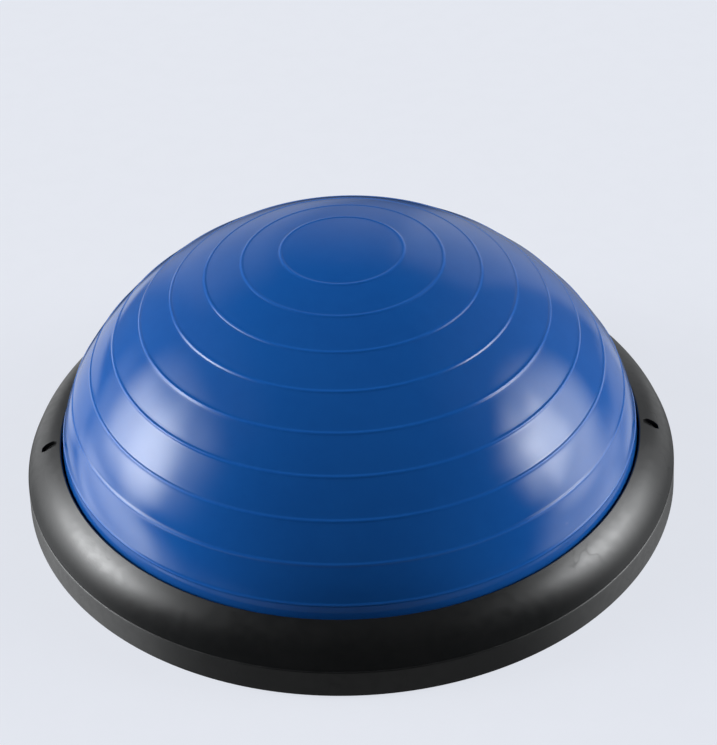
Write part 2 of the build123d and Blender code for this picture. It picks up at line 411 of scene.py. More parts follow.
@dataclass(frozen=True)
class Finish:
    """A moulded or metal finish: two close tints, a grain, faint waves and fine rubbed spots."""

    name: str
    colour: Colour
    second: Colour
    roughness: float
    roughness_change: float = 0.04
    blotch_scale: float = 14.0
    grain_scale: float = 2200.0
    grain_height: float = 0.05 * MM
    wave_scale: float = 60.0
    wave_height: float = 0.0
    specular: float = 0.5
    metallic: float = 0.0
    coat: float = 0.0
    coat_roughness: float = 0.03
    sheen: float = 0.0
    scratch_share: float = 0.0
    lean: tuple[Point, Point] | None = None
    # Painted shade: radii over which the gloss dies away towards a ring's outer edge.
    gloss_shade_from: Point | None = None
    # Painted highlight: how much lighter the base colour is made on the dome's rings.
    ring_highlight_share: float = 0.0

    def make(self) -> bpy.types.Material:
        """Build the material on Object coordinates.

        Returns:
            The material.
        """
        material = bpy.data.materials.new(self.name)
        graph = Graph(material)
        place = graph.add("TexCoord").outputs["Object"]
        blotch = graph.noise(place, self.blotch_scale, 3.0)
        fine = graph.noise(place, self.blotch_scale * 9, 4.0)
        mottle = graph.math("ADD", blotch, graph.math("MULTIPLY", fine, 0.35))
        share = graph.ramp(mottle, 0.45, 0.9, 0.0, 1.0)
        colour = graph.tint(share, self.colour, self.second)
        # Painted highlight: the base colour is lightened on the rings, by the ring height stored on the
        # mesh.
        if self.ring_highlight_share:
            ridge = graph.add("Attribute", attribute_name=RING_HIGHLIGHT).outputs["Fac"]
            gain = graph.math("MULTIPLY_ADD", ridge, self.ring_highlight_share, 1.0)
            colour = graph.scaled(colour, gain)
        change = self.roughness_change
        rough = graph.ramp(fine, 0.3, 0.7, self.roughness - change, self.roughness + change)
        if self.scratch_share:
            rubbed = graph.math("MULTIPLY", self.scratches(graph, place), self.scratch_share)
            rough = graph.math("ADD", rough, rubbed)
        normal = self.bump(graph, place)
        shader = graph.add("BsdfPrincipled", {"Base Color": colour, "Roughness": rough, "Normal": normal})
        shader.inputs["Metallic"].default_value = self.metallic
        shader.inputs["Specular IOR Level"].default_value = self.specular
        # Painted shade: gloss dimmed towards the ring's outer edge.
        if self.gloss_shade_from:
            self.fade(graph, place, shader)
        shader.inputs["Coat Weight"].default_value = self.coat
        shader.inputs["Coat Roughness"].default_value = self.coat_roughness
        shader.inputs["Sheen Weight"].default_value = self.sheen
        graph.add("OutputMaterial", {"Surface": shader.outputs[0]})
        return material

    def bump(self, graph: Graph, place: bpy.types.NodeSocket) -> bpy.types.NodeSocket:
        """Normal with long faint waves under a fine grain."""
        waves = graph.noise(place, self.wave_scale, 1.0)
        strength = 1.0 if self.wave_height else 0.0
        inputs = {"Height": waves, "Distance": self.wave_height, "Strength": strength}
        if self.lean:
            inputs["Normal"] = self.leaned(graph, place)
        low = graph.add("Bump", inputs).outputs[0]
        grain = graph.noise(place, self.grain_scale, 2.0)
        inputs = {"Height": grain, "Distance": self.grain_height, "Strength": 1.0, "Normal": low}
        return graph.add("Bump", inputs).outputs[0]

    def fade(self, graph: Graph, place: bpy.types.NodeSocket, shader: bpy.types.Node) -> None:
        """Let the gloss of a ring die away between two radii towards its outer edge, a painted shade on its
        reflection there.

        Args:
            graph: Graph of the material.
            place: Object coordinates.
            shader: Shader whose specular level is driven.
        """
        flat = graph.vector_math("MULTIPLY", place, PLAN).outputs[0]
        radius = graph.vector_math("LENGTH", flat).outputs["Value"]
        level = graph.ramp(radius, *self.gloss_shade_from, self.specular, self.specular * SHADED_EDGE_GLOSS)
        graph.tree.links.new(level, shader.inputs["Specular IOR Level"])

    def leaned(self, graph: Graph, place: bpy.types.NodeSocket) -> bpy.types.NodeSocket:
        """Normal of a coned ring: it leans outwards by an angle that grows between two radii.

        Faces that already point within some 35 degrees of the leaned direction take it; edges,
        bores and the hollow side keep their own normal.

        Args:
            graph: Graph of the material.
            place: Object coordinates.

        Returns:
            The normal's socket.
        """
        (near, far), (start, end) = self.lean
        flat = graph.vector_math("MULTIPLY", place, PLAN).outputs[0]
        radius = graph.vector_math("LENGTH", flat).outputs["Value"]
        tilt = graph.ramp(radius, near, far, math.radians(start), math.radians(end))
        outward = graph.vector_math("NORMALIZE", flat).outputs[0]
        sideways = graph.scaled(outward, graph.math("SINE", tilt))
        upright = graph.add("CombineXYZ", {"Z": graph.math("COSINE", tilt)}).outputs[0]
        coned = graph.vector_math("ADD", sideways, upright).outputs[0]
        own = graph.add("NewGeometry").outputs["Normal"]
        near_enough = graph.vector_math("DOT_PRODUCT", coned, own).outputs["Value"]
        share = graph.ramp(near_enough, *LEAN_WITHIN, 0.0, 1.0)
        blend = graph.add("Mix", {"Factor": share, 4: own, 5: coned}, data_type="VECTOR")
        return graph.vector_math("NORMALIZE", blend.outputs[1]).outputs[0]

    def scratches(self, graph: Graph, place: bpy.types.NodeSocket) -> bpy.types.NodeSocket:
        """Thin rubbed lines, 0 to 1: the narrow zero lines of a stretched noise, in patches."""
        stretched = graph.vector_math("MULTIPLY", place, (60.0, 22.0, 35.0)).outputs[0]
        lines = graph.math("ABSOLUTE", graph.math("SUBTRACT", graph.noise(stretched, 1.0, 1.0), 0.5))
        thin = graph.ramp(lines, 0.0, 0.012, 1.0, 0.0)
        patches = graph.ramp(graph.noise(place, 23.0, 2.0), 0.52, 0.68, 0.0, 1.0)
        return graph.math("MULTIPLY", thin, patches)


GLOSSY_PVC = Finish(
    name="glossy_blue_pvc",
    colour=(0.0155, 0.155, 0.62, 1.0),
    second=(0.0175, 0.170, 0.66, 1.0),
    specular=0.0,
    roughness=0.42,
    roughness_change=0.03,
    blotch_scale=9.0,
    grain_scale=900.0,
    grain_height=0.004 * MM,
    wave_scale=38.0,
    wave_height=0.09 * MM,
    coat=1.0,
    coat_roughness=0.06,
    # Painted highlight: base colour up to a fifth lighter on the rings.
    ring_highlight_share=0.20,
)
COLLAR_PLASTIC = Finish(
    name="satin_black_collar",
    colour=(0.0185, 0.0195, 0.0205, 1.0),
    second=(0.024, 0.025, 0.026, 1.0),
    specular=0.9,
    roughness=0.33,
    roughness_change=0.03,
    grain_scale=1500.0,
    grain_height=0.03 * MM,
    wave_scale=45.0,
    wave_height=0.10 * MM,
    scratch_share=0.12,
    lean=((266 * MM, 298 * MM), (38.0, 61.0)),
    # Painted shade: the collar's gloss dies away towards its outer edge.
    gloss_shade_from=(279 * MM, 296 * MM),
)
PLATFORM_PLASTIC = Finish(
    name="satin_black_platform",
    colour=(0.0125, 0.0135, 0.0145, 1.0),
    second=(0.018, 0.019, 0.020, 1.0),
    specular=0.8,
    roughness=0.40,
    roughness_change=0.04,
    grain_scale=1300.0,
    grain_height=0.04 * MM,
    wave_scale=45.0,
    wave_height=0.12 * MM,
    scratch_share=0.15,
)
SHEET_PVC = Finish(
    name="calendered_black_sheet",
    colour=(0.018, 0.018, 0.020, 1.0),
    second=(0.026, 0.026, 0.028, 1.0),
    roughness=0.48,
    grain_scale=800.0,
    grain_height=0.06 * MM,
)
SEAT_RUBBER = Finish(
    name="black_valve_rubber",
    colour=(0.020, 0.020, 0.020, 1.0),
    second=(0.030, 0.030, 0.030, 1.0),
    roughness=0.60,
    grain_height=0.02 * MM,
)
PLUG_PLASTIC = Finish(
    name="natural_plug_plastic",
    colour=(0.62, 0.61, 0.57, 1.0),
    second=(0.70, 0.69, 0.65, 1.0),
    roughness=0.38,
    grain_height=0.01 * MM,
    coat=0.2,
)
ZINC_STEEL = Finish(
    name="zinc_plated_steel",
    colour=(0.55, 0.56, 0.57, 1.0),
    second=(0.66, 0.66, 0.64, 1.0),
    roughness=0.30,
    roughness_change=0.08,
    blotch_scale=160.0,
    grain_scale=4000.0,
    grain_height=0.008 * MM,
    metallic=1.0,
)
FOOT_RUBBER = Finish(
    name="matt_foot_rubber",
    colour=(0.030, 0.030, 0.031, 1.0),
    second=(0.048, 0.047, 0.046, 1.0),
    roughness=0.78,
    grain_scale=1800.0,
    grain_height=0.05 * MM,
    sheen=0.15,
)


def dress(piece: bpy.types.Object, finish: Finish, slot: Slot) -> None:
    """Give a piece its only material.

    Args:
        piece: The finished mesh object.
        finish: What it is made of.
        slot: The record's slot; not used.
    """
    material = bpy.data.materials.get(finish.name) or finish.make()
    piece.data.materials.clear()
    piece.data.materials.append(material)


# ---------------------------------------------------------------- sub-assemblies


@dataclass
class Dome:
    """Moulded PVC half ball with raised rings and a clamped flange."""

    top: float
    flange_top: float
    crown_radius: float = 290 * MM
    crown_angle: float = 57.0
    flank_radius: float = 130 * MM
    wall: float = 4 * MM
    ring_count: int = 9
    first_ring: float = 53.8 * MM
    ring_pitch: float = 35.3 * MM
    ring_height: float = 0.55 * MM
    ring_half_width: float = 2.2 * MM
    flange_thick: float = 4 * MM
    bead_centre: float = 277.5 * MM
    bead_radius: float = 3 * MM
    wobble: float = 0.10 * MM
    segments: int = 256

    def meridian(self, arc_length: np.ndarray, depth: float) -> tuple[np.ndarray, np.ndarray]:
        """Place and outward direction at distances from the pole along the outer meridian.

        The crown is one arc about the axis; the flank is a tighter arc that is tangent to it.

        Args:
            arc_length: Distances from the pole.
            depth: How far under the outer surface.

        Returns:
            Points (n, 2) as (r, z) and unit directions (n, 2).
        """
        crown_length = self.crown_radius * math.radians(self.crown_angle)
        on_crown = arc_length <= crown_length
        offset = self.crown_radius - self.flank_radius
        angle = np.where(
            on_crown,
            arc_length / self.crown_radius,
            math.radians(self.crown_angle) + (arc_length - crown_length) / self.flank_radius,
        )
        outward = np.column_stack((np.sin(angle), np.cos(angle)))
        limit = math.radians(self.crown_angle)
        joint = offset * np.array((math.sin(limit), math.cos(limit)))
        centre = np.where(on_crown[:, None], 0.0, joint) + (0.0, self.top - self.crown_radius)
        radius = np.where(on_crown, self.crown_radius, self.flank_radius) - depth
        return centre + outward * radius[:, None], outward

    def stations(self, foot: float) -> np.ndarray:
        """Distances from the pole, close together across each ring and wider between them."""
        across = np.linspace(-1, 1, 15) * self.ring_half_width
        rings = self.first_ring + self.ring_pitch * np.arange(self.ring_count)
        between = (rings[:, None] + np.linspace(0.12, 0.88, 7) * self.ring_pitch).ravel()
        cap = np.linspace(0, self.first_ring - 2 * self.ring_half_width, 12)
        every = np.concatenate((cap, (rings[:, None] + across).ravel(), between, [foot]))
        return np.unique(every[every <= foot])

    def relief(self, arc_length: np.ndarray) -> np.ndarray:
        """Height of the rings: a squared cosine across each ring, nought between them."""
        rings = self.first_ring + self.ring_pitch * np.arange(self.ring_count)
        away = np.abs(arc_length[:, None] - rings).min(axis=1) / self.ring_half_width
        return self.ring_height * np.cos(np.minimum(away, 1.0) * math.pi / 2) ** 2

    def build(self) -> bpy.types.Object:
        """Build the shell: outer skin with rings, flange with its bead, and inner skin.

        Returns:
            The finished piece.
        """
        quarter = self.crown_radius * math.radians(self.crown_angle)
        quarter += self.flank_radius * math.radians(90 - self.crown_angle)
        outer_at = self.stations(quarter)[::-1]
        outer, outward = self.meridian(outer_at, 0.0)
        outer = outer + outward * self.relief(outer_at)[:, None]
        inner, _ = self.meridian(np.linspace(0, quarter, 48), self.wall)
        low = self.flange_top - self.flange_thick
        middle = (self.flange_top + low) / 2
        spread = math.degrees(math.asin(self.flange_thick / 2 / self.bead_radius))
        flange = chain(
            (inner[-1, 0], low),
            arc((self.bead_centre, middle), self.bead_radius, spread - 180, 180 - spread, 16),
            (outer[0, 0] + 1 * MM, self.flange_top),
            (outer[0, 0], self.flange_top + 1 * MM),
        )
        profile = chain(inner, flange, outer)
        grid = turned(profile, self.segments)
        skin = Skin()
        skin.add(self.settle(grid))
        dome = skin.build("dome_skin")
        self.mark_ring_highlight(dome)
        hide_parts("dome_shell")
        dress(dome, GLOSSY_PVC, Slot.DOME)
        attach(dome, Body.PLATFORM.value)
        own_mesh(dome)
        return dome

    def mark_ring_highlight(self, dome: bpy.types.Object) -> None:
        """Store on every vertex how far up a ring it lies, 0 to 1, as the attribute from which the finish
        paints a highlight on the rings.

        The distance from the pole is the crown's radius times the angle about the crown's centre,
        and past the crown's end the flank's radius times the angle about the flank's centre.

        Args:
            dome: The finished dome.
        """
        count = len(dome.data.vertices)
        flat = np.empty(3 * count)
        dome.data.vertices.foreach_get("co", flat)
        x, y, z = flat.reshape(-1, 3).T
        r, up = np.hypot(x, y), z - (self.top - self.crown_radius)
        limit = math.radians(self.crown_angle)
        offset = self.crown_radius - self.flank_radius
        on_flank = np.arctan2(r - offset * math.sin(limit), up - offset * math.cos(limit))
        on_crown = np.arctan2(r, up)
        distance = np.where(
            on_crown <= limit,
            on_crown * self.crown_radius,
            limit * self.crown_radius + (on_flank - limit) * self.flank_radius,
        )
        ridge = self.relief(distance) / self.ring_height
        attribute = dome.data.attributes.new(RING_HIGHLIGHT, "FLOAT", "POINT")
        attribute.data.foreach_set("value", ridge.astype(np.float32))

    def settle(self, grid: np.ndarray) -> np.ndarray:
        """Slight unevenness of an inflated skin: slow sines round and up the dome, none at its foot.

        Args:
            grid: Array (rows, columns, 3).

        Returns:
            The grid with radii changed by at most the wobble.
        """
        x, y, z = np.moveaxis(grid, -1, 0)
        angle = np.arctan2(y, x)
        height = (z - self.flange_top) / (self.top - self.flange_top)
        fade = smoothstep(height * 2.2) * smoothstep((1 - height) * 6)
        waves = np.sin(3 * angle + 7 * height) + 0.6 * np.sin(5 * angle - 11 * height + 1.3)
        scale = 1 + self.wobble / self.crown_radius * waves * fade
        return np.stack((x * scale, y * scale, z), axis=-1)


@dataclass
class Collar:
    """Convex clamp ring with its lip, spigot and two cord slots."""

    foot: float
    spigot_bottom: float
    centre: Point = (259.6 * MM, 16 * MM)
    radius: float = 40 * MM
    wall: float = 3.5 * MM
    inner_radius: float = 265.2 * MM
    leg_thick: float = 3.3 * MM
    leg_bottom: float = 39 * MM
    lip_round: float = 1.2 * MM
    spigot_outer: float = 294.6 * MM
    spigot_thick: float = 3.1 * MM
    slot_edge: float = 0.5 * MM
    segments: int = 256
    slots: tuple[Outline, Outline] = (
        Outline(275.6 * MM, -24 * MM, 7.75 * MM, 4.5 * MM, 4.5 * MM, math.radians(-10)),
        Outline(-275.6 * MM, -24 * MM, 7.75 * MM, 4.5 * MM, 4.5 * MM, math.radians(10)),
    )

    def height(self, r: np.ndarray | float, inset: float = 0.0) -> np.ndarray | float:
        """Height of the convex arc, moved inwards by an inset, at radius r."""
        return self.centre[1] + np.sqrt((self.radius - inset) ** 2 - (r - self.centre[0]) ** 2)

    def angle_at(self, r: float, inset: float) -> float:
        """Angle in degrees on the inset arc at radius r."""
        return math.degrees(math.acos((r - self.centre[0]) / (self.radius - inset)))

    def lip(self) -> np.ndarray:
        """Rounded top edge: an arc that is tangent to the convex arc and to the upright bore."""
        axis_r = self.inner_radius + self.lip_round
        axis_z = self.height(axis_r, self.lip_round)
        start = self.angle_at(axis_r, self.lip_round)
        return arc((axis_r, axis_z), self.lip_round, start, 180, 8)

    def build(self) -> bpy.types.Object:
        """Build the ring as one closed turning and cut the slots through both its skins.

        Returns:
            The finished piece.
        """
        leg_outer = self.inner_radius + self.leg_thick
        foot_angle = math.degrees(math.asin((self.foot - self.centre[1]) / self.radius))
        lip = self.lip()
        top_angle = self.angle_at(self.inner_radius + self.lip_round, self.lip_round)
        outer = arc(self.centre, self.radius, foot_angle, top_angle, 44)
        spigot_inner = self.spigot_outer - self.spigot_thick
        hollow_low = self.angle_at(spigot_inner, self.wall)
        hollow_high = self.angle_at(leg_outer, self.wall)
        hollow = arc(self.centre, self.radius - self.wall, hollow_high, hollow_low, 44)
        tail = chain(
            (spigot_inner, self.spigot_bottom),
            (self.spigot_outer, self.spigot_bottom),
            (self.spigot_outer, self.foot),
            (outer[0, 0] - 0.4 * MM, self.foot),
        )
        leg = chain((self.inner_radius, self.leg_bottom), (leg_outer, self.leg_bottom))
        profile = chain(leg, hollow, tail, outer, lip, (self.inner_radius, self.leg_bottom))
        body = Turning(profile, self.segments)
        first_hollow = int(np.argmin(np.linalg.norm(profile - hollow[0], axis=1)))
        first_outer = int(np.argmin(np.linalg.norm(profile - outer[0], axis=1)))
        for slot in self.slots:
            self.cut_slot(body, slot, first_hollow, first_outer)
        collar = body.build("collar_ring")
        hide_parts("clamp_collar")
        dress(collar, COLLAR_PLASTIC, Slot.COLLAR)
        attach(collar, Body.PLATFORM.value)
        return collar

    def cut_slot(self, body: Turning, slot: Outline, first_hollow: int, first_outer: int) -> None:
        """Cut one slot: rings lead from a block's rim to a rounded edge, down the wall and out again.

        Args:
            body: The collar's turning.
            slot: Plan outline of the slot.
            first_hollow: Row where the hollow's arc starts.
            first_outer: Row where the outer arc starts.
        """
        angle = math.atan2(slot.y, slot.x)
        reach = math.hypot(slot.x, slot.y) + slot.half_length + 2 * self.slot_edge
        rows = np.nonzero(body.profile[first_outer:first_outer + 44, 0] > reach)[0]
        top_rows = (first_outer + int(rows.max()), first_outer + 43)
        count = top_rows[1] - top_rows[0]
        rim = body.cut_block(top_rows, angle, 4)
        under = body.cut_block((first_hollow, first_hollow + count), angle, 4)
        under = np.roll(under[::-1], 1 + 8, axis=0)
        rings = [rim]
        for ring in spread_rings(rim, slot.around(rim, self.slot_edge), 6)[1:]:
            rings.append(at_height(ring, self.height(np.linalg.norm(ring, axis=1))))
        for turn in np.radians((22.5, 45, 67.5, 90)):
            ring = slot.around(rim, self.slot_edge * (1 - math.sin(turn)))
            drop = self.slot_edge * (1 - math.cos(turn))
            rings.append(at_height(ring, self.height(np.linalg.norm(ring, axis=1)) - drop))
        bore = slot.around(rim, 0.0)
        rings.append(at_height(bore, self.height(np.linalg.norm(bore, axis=1), self.wall)))
        for ring in spread_rings(under, bore, 5)[-2:0:-1]:
            rings.append(at_height(ring, self.height(np.linalg.norm(ring, axis=1), self.wall)))
        rings.append(under)
        body.skin.add(np.stack(rings))


@dataclass
class Platform:
    """Round base: drafted rim with its ledge, tread with grips, counterbores and foot recesses."""

    ledge: float
    bottom: float
    radius: float = 300 * MM
    rim_top_radius: float = 298.6 * MM
    rim_inner: float = 295.1 * MM
    tread_thick: float = 4 * MM
    edge_round: float = 2 * MM
    ledge_round: float = 1.5 * MM
    well_radius: float = 30 * MM
    well_wall: float = 3 * MM
    inside_top: float = 32 * MM
    segments: int = 256
    screw_circle: float = 286 * MM
    counterbore: float = 5 * MM
    screw_seat: float = 14 * MM
    foot_circle: float = 236 * MM
    foot_recess: float = 15.15 * MM
    foot_ceiling: float = 4 * MM
    grip_x: float = 256 * MM
    grip_half: Point = (18 * MM, 55 * MM)
    grip_corner: float = 12 * MM
    grip_ceiling: float = 26 * MM
    grip_wall: float = 3 * MM
    groove_pitch: float = 6 * MM
    groove_depth: float = 0.5 * MM
    screw_block: Point = (279.6 * MM, 292.6 * MM)
    screw_cup: float = 0.6 * MM
    foot_block: Point = (218 * MM, 254 * MM)
    grip_block: Point = (230 * MM, 279.6 * MM)
    rib_radii: Point = (100 * MM, 175 * MM)
    rib_half: float = 1.25 * MM
    blade_reach: float = 234 * MM
    seat_ring: Point = (252.75 * MM, 281.5 * MM)
    seat_thick: float = 4 * MM

    def rim(self) -> np.ndarray:
        """Outer side from the tread to the ledge: rounded foot, draft, small rounded top edge."""
        low, high = self.bottom, self.ledge - self.ledge_round
        return chain(
            arc((self.radius - self.edge_round, low + self.edge_round), self.edge_round, -90, -2, 10),
            straight((self.radius - 0.1 * MM, low + 3 * MM), (self.rim_top_radius, high), 8),
            arc((self.rim_top_radius - self.ledge_round, high), self.ledge_round, 0, 90, 8),
        )

    def underside(self) -> np.ndarray:
        """Tread from the well to the rim, with concentric anti-slip grooves in its middle."""
        rows = np.concatenate((
            np.arange(self.well_radius + 6 * MM, 216 * MM, self.groove_pitch / 4),
            np.array((218, 224, 230, 236, 242, 248, 254)) * MM,
            np.array((266, 278.2, 279.6, 284, 288, 292.6)) * MM,
        ))
        inside = (rows > self.well_radius + 8 * MM) & (rows < 214 * MM)
        phase = np.round((rows - rows[0]) / (self.groove_pitch / 4)) % 4
        sunk = np.where(inside & (phase >= 2), self.groove_depth, 0.0)
        return np.column_stack((rows, self.bottom + sunk))

    def build(self) -> bpy.types.Object:
        """Build the closed section, then sink the recesses and stand the inner ribs on the tread.

        Returns:
            The finished piece.
        """
        top = self.bottom + self.tread_thick
        under = self.underside()
        over = np.column_stack((under[::-1, 0], np.full(len(under), top)))
        well_outer = self.well_radius + self.well_wall
        profile = chain(
            (self.well_radius, self.bottom),
            under,
            self.rim(),
            (self.rim_inner, self.ledge),
            (self.rim_inner, top),
            over[over[:, 0] > well_outer],
            (well_outer, top),
            (well_outer, self.inside_top),
            (self.well_radius, self.inside_top),
            (self.well_radius, self.bottom),
        )
        body = Turning(profile, self.segments)
        for outline, rows, spread, ceiling, wall in self.recesses():
            self.sink(body, outline, rows, spread, ceiling, wall)
        self.ribs(body.skin)
        platform = body.build("platform_base")
        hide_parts("platform")
        dress(platform, PLATFORM_PLASTIC, Slot.PLATFORM)
        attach(platform, Body.PLATFORM.value)
        return platform

    def recesses(self) -> list[tuple[Outline, Point, int, float, float]]:
        """Every recess: its outline, its block's radii, its columns to each side, ceiling and wall."""
        found = []
        for angle in even_angles(SCREW_COUNT):
            x, y = self.screw_circle * math.cos(angle), self.screw_circle * math.sin(angle)
            bore = Outline(x, y, self.counterbore, self.counterbore, self.counterbore)
            found.append((bore, self.screw_block, 1, self.screw_seat, self.screw_cup))
        for angle in even_angles(FOOT_COUNT):
            x, y = self.foot_circle * math.cos(angle), self.foot_circle * math.sin(angle)
            pad = Outline(x, y, self.foot_recess, self.foot_recess, self.foot_recess)
            found.append((pad, self.foot_block, 4, self.foot_ceiling, 0.0))
        for side in (-1, 1):
            grip = Outline(side * self.grip_x, 0.0, *self.grip_half, self.grip_corner)
            found.append((grip, self.grip_block, 11, self.grip_ceiling, self.grip_wall))
        return found

    def sink(
        self, body: Turning, outline: Outline, radii: Point, spread: int, ceiling: float, wall: float
    ) -> None:
        """Sink one recess into the tread, with a cup of even wall above it where it is deep.

        Rings lead from the block's rim to the outline, up to the ceiling and in to its middle.

        Args:
            body: The platform's turning.
            outline: Plan outline of the recess.
            radii: Inner and outer radius of the block of cells that it replaces.
            spread: Columns of the block to each side.
            ceiling: Height of the recess's top.
            wall: Thickness of the cup round it, or 0 for a shallow recess.
        """
        top = self.bottom + self.tread_thick
        radius, height = body.profile[:, 0], body.profile[:, 1]
        levels = [(self.bottom, ceiling, 0.0)] + ([(top, ceiling + wall, wall)] if wall else [])
        for level, end, grow in levels:
            rows = np.nonzero(
                (np.abs(height - level) < 0.1 * MM)
                & (radius > radii[0] - WELD) & (radius < radii[1] + WELD)
            )[0]
            angle = math.atan2(outline.y, outline.x)
            rim = body.cut_block((int(rows.min()), int(rows.max())), angle, spread)
            mouth = outline.around(rim, grow)
            rings = [at_height(ring, level) for ring in spread_rings(rim, mouth, 4)]
            rings[0] = rim
            rings.append(at_height(mouth, end))
            centre = np.array((outline.x, outline.y))
            rings += [at_height(centre + (mouth - centre) * share, end) for share in (0.6, 0.25, 0.0)]
            body.skin.add(np.stack(rings))

    def ribs(self, skin: Skin) -> None:
        """Ring ribs, seat ring and radial blades that carry the air chamber's floor.

        Args:
            skin: Skin that takes the closed ribs.
        """
        low, half = self.bottom + self.tread_thick, self.rib_half
        rings = [(r - half, r + half, low) for r in self.rib_radii]
        rings += [(*self.seat_ring, self.inside_top - self.seat_thick)]
        for inner, outer, start in rings:
            top = self.inside_top
            section = np.array(((inner, start), (outer, start), (outer, top), (inner, top), (inner, start)))
            skin.add(turned(section, 128))
        start, end = self.well_radius + self.well_wall / 2, self.blade_reach
        corners = np.array(((start, -half), (end, -half), (end, half), (start, half)))
        for angle in even_angles(FOOT_COUNT):
            c, s = math.cos(angle), math.sin(angle)
            plan = corners @ np.array(((c, s), (-s, c)))
            levels = [plan.mean(axis=0) + 0 * plan, plan, plan, plan.mean(axis=0) + 0 * plan]
            heights = (low, low, self.inside_top, self.inside_top)
            skin.add(np.stack([at_height(ring, z) for ring, z in zip(levels, heights)]))


@dataclass
class Feet:
    """Eight round rubber pads with a ringed sole."""

    circle: float = 236 * MM
    radius: float = 15 * MM
    thick: float = 4 * MM
    edge: float = 0.8 * MM
    groove: float = 0.35 * MM
    groove_pitch: float = 3 * MM
    segments: int = 48

    def sole(self) -> np.ndarray:
        """Sole from the middle to the edge, with rounded ring grooves: half a sine, raised."""
        r = np.linspace(0, self.radius - self.edge, 60)
        wave = np.sin(math.pi * r / self.groove_pitch) ** 2
        fade = smoothstep((self.radius - 2.5 * MM - r) / (1 * MM))
        return np.column_stack((r, self.groove * wave * fade))

    def build(self) -> list[bpy.types.Object]:
        """Build the pads in their recesses.

        Returns:
            The eight pieces, in the order of the CAD nodes.
        """
        profile = chain(
            self.sole(),
            arc((self.radius - self.edge, self.edge), self.edge, -90, 0, 7),
            (self.radius, self.thick),
            (0, self.thick),
        )
        pads = []
        for number, angle in enumerate(even_angles(FOOT_COUNT)):
            centre = np.array((self.circle * math.cos(angle), self.circle * math.sin(angle), 0.0))
            skin = Skin()
            skin.add(turned(profile, self.segments) + centre)
            pad = skin.build(f"foot_pad_{number + 1}")
            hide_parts(f"foot_{number + 1}")
            dress(pad, FOOT_RUBBER, Slot.FOOT)
            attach(pad, Body.PLATFORM.value)
            pads.append(pad)
        return pads


@dataclass
class ClampScrews:
    """Sixteen pan-head self-tapping screws, heads down, with a cross recess and a thread."""

    seat: float = 14 * MM
    top: float = 38 * MM
    circle: float = 286 * MM
    head_radius: float = 4 * MM
    head_thick: float = 3 * MM
    shank_radius: float = 2 * MM
    thread_depth: float = 0.35 * MM
    thread_pitch: float = 1.8 * MM
    face_radius: float = 3 * MM
    face_dome: float = 0.35 * MM
    point_length: float = 2 * MM
    cross_half_width: float = 0.45 * MM
    cross_reach: float = 2.4 * MM
    cross_depth: float = 1.4 * MM
    segments: int = 32

    def grid(self) -> np.ndarray:
        """One screw on the axis: domed head with its recess, then a shank with a helical ridge.

        The recess lowers the head by a smooth step of the distance to two crossed bars. The
        thread adds a triangle wave of height over pitch less turn to the shank's radius.

        Returns:
            Array (rows, columns, 3).
        """
        low = self.seat - self.head_thick
        r = np.linspace(0, self.face_radius, 22)
        face = np.column_stack((r, low + self.face_dome * (r / self.head_radius) ** 2))
        edge = arc((self.face_radius, low + 1.2 * MM), self.head_radius - self.face_radius, -90, 0, 6)
        heights = np.linspace(self.seat, self.top - self.point_length, 78)
        shank = np.column_stack((np.full(len(heights), self.shank_radius), heights))
        profile = chain(face, edge, (self.head_radius, self.seat), shank, (0.0, self.top))
        points = turned(profile, self.segments)
        x, y, z = np.moveaxis(points, -1, 0)
        bars = np.minimum(np.abs(x), np.abs(y))
        reach = np.maximum(np.abs(x), np.abs(y))
        inside = smoothstep((self.cross_half_width * 1.6 - bars) / (self.cross_half_width * 0.9))
        inside = inside * smoothstep((self.cross_reach - reach) / (0.5 * MM))
        inside = inside * (z < low + self.head_thick / 2)
        angle = np.arctan2(y, x)
        turn = ((z - self.seat) / self.thread_pitch - angle / FULL_TURN) % 1.0
        ridge = self.thread_depth * np.maximum(0, 1 - 3 * np.abs(turn - 0.5))
        on_shank = (z > self.seat + 1 * MM) & (z < self.top - 2.5 * MM)
        scale = 1 + np.where(on_shank, ridge / self.shank_radius, 0.0)
        return np.stack((x * scale, y * scale, z + self.cross_depth * inside), axis=-1)

    def build(self) -> bpy.types.Object:
        """Build all the screws as one piece.

        Returns:
            The finished piece.
        """
        one = self.grid()
        skin = Skin()
        for angle in even_angles(SCREW_COUNT):
            c, s = math.cos(angle), math.sin(angle)
            spun = one @ np.array(((c, s, 0), (-s, c, 0), (0, 0, 1)))
            skin.add(spun + np.array((self.circle * c, self.circle * s, 0.0)))
        screws = skin.build("clamp_screw_set")
        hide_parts("clamp_screws")
        dress(screws, ZINC_STEEL, Slot.SCREW)
        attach(screws, Body.PLATFORM.value)
        return screws


